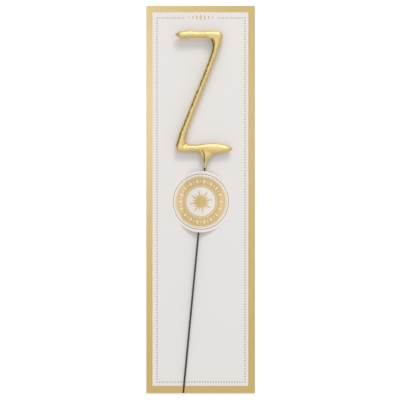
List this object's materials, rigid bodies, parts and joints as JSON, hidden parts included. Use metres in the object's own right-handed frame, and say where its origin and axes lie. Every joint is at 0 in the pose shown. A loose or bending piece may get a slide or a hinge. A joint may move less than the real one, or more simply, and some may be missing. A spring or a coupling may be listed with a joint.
{
  "type": "letter sparkler",
  "caption": "Gold letter sparkler dip-cast on a bent steel wire, strapped by a tented round paper seal to a long foil-edged display card, and drawn out from under it.",
  "frame": {"origin": "middle of the card's back face", "axes": "+Y along the card towards its head, where the letter is; +Z out of the card's printed front; +X to the right as the front is looked at"},
  "size_m": [0.056, 0.2, 0.0062],
  "materials": {
    "card": "uncoated off-white board",
    "card_foil": "hot-stamped gold foil",
    "seal": "white satin sticker paper",
    "seal_foil": "hot-stamped gold foil",
    "wire": "dark drawn steel wire",
    "mix": "baked spark mix, painted metallic gold"
  },
  "bodies": {
    "card": {"backing_card": "card", "border_foil": "card_foil", "seal_paper": "seal", "seal_foil_ring": "seal_foil"},
    "sparkler": {"core_wire": "wire", "spark_composition": "mix"}
  },
  "joints": [
    {"name": "stem_slide", "type": "slide", "parent": "card", "child": "sparkler", "axis": [0.095, 0.9953, 0.0175], "range_m": [0, 0.115]}
  ]
}
